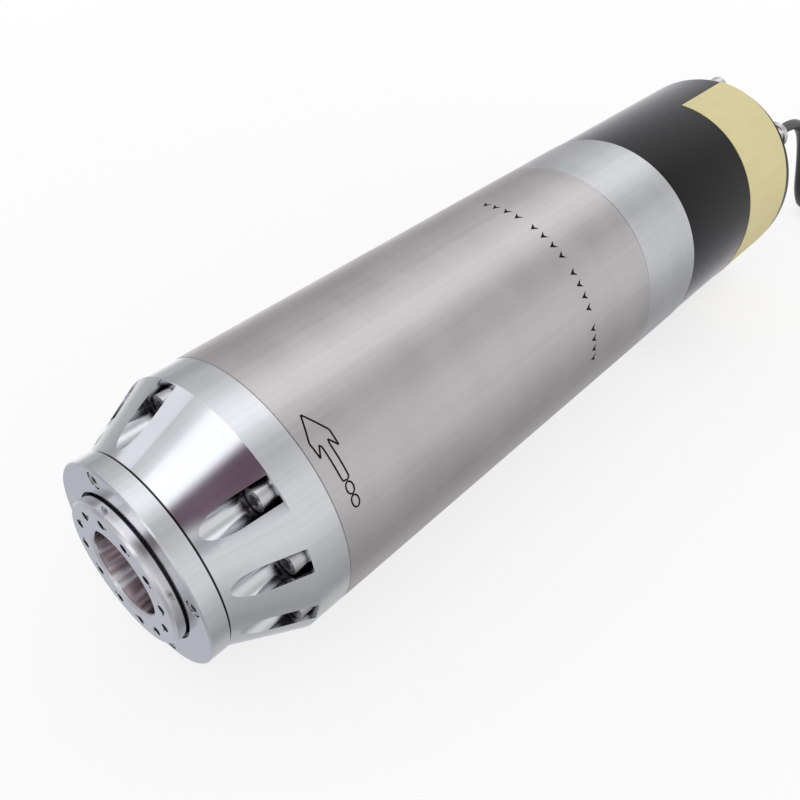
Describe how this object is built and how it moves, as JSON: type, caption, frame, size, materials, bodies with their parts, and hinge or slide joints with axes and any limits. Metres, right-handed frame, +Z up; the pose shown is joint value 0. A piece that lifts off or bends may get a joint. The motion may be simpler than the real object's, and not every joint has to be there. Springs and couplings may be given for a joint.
{
  "type": "motor spindle",
  "caption": "Cylindrical electric spindle with a tapered tool nose, scalloped front housing, brushed body, drawbar cylinder at the rear and a short cable.",
  "frame": {"origin": "on the floor under the middle of the spindle's length, without its cable", "axes": "+Y along the spindle axis from the nose to the rear, +Z up, the tool leaves along -Y"},
  "size_m": [0.1645, 0.5338, 0.1],
  "materials": {
    "polished_aluminium": "turned and polished",
    "satin_aluminium": "satin turned",
    "brushed_stainless": "fine brushed",
    "ground_steel": "ground",
    "bearing_steel": "polished",
    "screw_steel": "zinc plated",
    "black_anodised": "satin black anodised",
    "yellow_label": "matte film",
    "nickel_brass": "nickel plated",
    "lamination": "varnished sheet",
    "copper_winding": "enamelled wire",
    "spring_steel": "oiled",
    "seal_rubber": "moulded",
    "sensor_plastic": "moulded",
    "cable_rubber": "smooth jacket",
    "plug_metal": "satin"
  },
  "bodies": {
    "housing": {"front_cover": "polished_aluminium", "front_cover_screws": "screw_steel", "nose_housing": "polished_aluminium", "nose_screws": "screw_steel", "body_tube": "brushed_stainless", "cooling_jacket": "satin_aluminium", "jacket_seals": "seal_rubber", "stator_core": "lamination", "stator_windings": "copper_winding", "rear_bearing_housing": "satin_aluminium", "ring_screws": "screw_steel", "preload_spring": "spring_steel", "rear_bearing_cover": "satin_aluminium", "rear_cover_screws": "screw_steel", "front_outer_rings": "bearing_steel", "rear_outer_rings": "bearing_steel", "front_outer_spacer": "ground_steel", "cylinder_housing": "black_anodised", "divider_plate": "satin_aluminium", "rod_seals": "seal_rubber", "sensor_carrier": "satin_aluminium", "sensor_probes": "sensor_plastic", "cylinder_cap": "black_anodised", "tie_screws": "screw_steel", "wrap_label": "yellow_label", "air_fittings": "nickel_brass", "water_fittings": "nickel_brass", "gland_body": "nickel_brass", "gland_nut": "nickel_brass", "cable_tube": "cable_rubber", "cable_coil": "cable_rubber", "cable_tail": "cable_rubber", "cable_plug": "plug_metal"},
    "spindle": {"shaft": "ground_steel", "front_inner_rings": "bearing_steel", "rear_inner_rings": "bearing_steel", "front_inner_spacer": "ground_steel", "front_locknut": "ground_steel", "rear_locknut": "ground_steel", "rotor_core": "lamination", "rotor_end_rings": "satin_aluminium", "sensor_wheel": "ground_steel", "disc_springs": "spring_steel"},
    "front_cages": {"front_ball_cages": "bearing_steel"},
    "rear_cages": {"rear_ball_cages": "bearing_steel"},
    "drawbar": {"drawbar_rod": "ground_steel", "drawbar_nut": "ground_steel"},
    "piston": {"piston_rod": "ground_steel", "pistons": "satin_aluminium", "piston_seals": "seal_rubber"},
    "petal_1": {"gripper_petal_1": "ground_steel"},
    "petal_2": {"gripper_petal_2": "ground_steel"},
    "petal_3": {"gripper_petal_3": "ground_steel"},
    "petal_4": {"gripper_petal_4": "ground_steel"}
  },
  "joints": [
    {"name": "spindle_spin", "type": "hinge", "parent": "housing", "child": "spindle", "pos_m": [0, 0, 0.05], "axis": [0, 1, 0], "continuous": true},
    {"name": "front_cage_spin", "type": "hinge", "parent": "housing", "child": "front_cages", "pos_m": [0, 0, 0.05], "axis": [0, 1, 0], "continuous": true},
    {"name": "rear_cage_spin", "type": "hinge", "parent": "housing", "child": "rear_cages", "pos_m": [0, 0, 0.05], "axis": [0, 1, 0], "continuous": true},
    {"name": "piston_slide", "type": "slide", "parent": "housing", "child": "piston", "axis": [0, -1, 0], "range_m": [0, 0.007]},
    {"name": "drawbar_slide", "type": "slide", "parent": "spindle", "child": "drawbar", "axis": [0, -1, 0], "range_m": [0, 0.006], "stiffness_N_per_m": 500, "springref_m": -0.002, "deforming": ["disc_springs"]},
    {"name": "petal_1_swing", "type": "hinge", "parent": "drawbar", "child": "petal_1", "pos_m": [0.0053, -0.1165, 0.0553], "axis": [-0.7071, 0, 0.7071], "range_deg": [0, 3.5]},
    {"name": "petal_2_swing", "type": "hinge", "parent": "drawbar", "child": "petal_2", "pos_m": [-0.0053, -0.1165, 0.0553], "axis": [-0.7071, 0, -0.7071], "range_deg": [0, 3.5]},
    {"name": "petal_3_swing", "type": "hinge", "parent": "drawbar", "child": "petal_3", "pos_m": [-0.0053, -0.1165, 0.0447], "axis": [0.7071, 0, -0.7071], "range_deg": [0, 3.5]},
    {"name": "petal_4_swing", "type": "hinge", "parent": "drawbar", "child": "petal_4", "pos_m": [0.0053, -0.1165, 0.0447], "axis": [0.7071, 0, 0.7071], "range_deg": [0, 3.5]}
  ],
  "couplings": [
    {"joint": "front_cage_spin", "follows": "spindle_spin", "ratio": 0.423},
    {"joint": "rear_cage_spin", "follows": "spindle_spin", "ratio": 0.4215},
    {"joint": "drawbar_slide", "follows": "piston_slide", "ratio": 0.857},
    {"joint": "petal_1_swing", "follows": "piston_slide", "rad_per_m": 8.72},
    {"joint": "petal_2_swing", "follows": "piston_slide", "rad_per_m": 8.72},
    {"joint": "petal_3_swing", "follows": "piston_slide", "rad_per_m": 8.72},
    {"joint": "petal_4_swing", "follows": "piston_slide", "rad_per_m": 8.72}
  ]
}
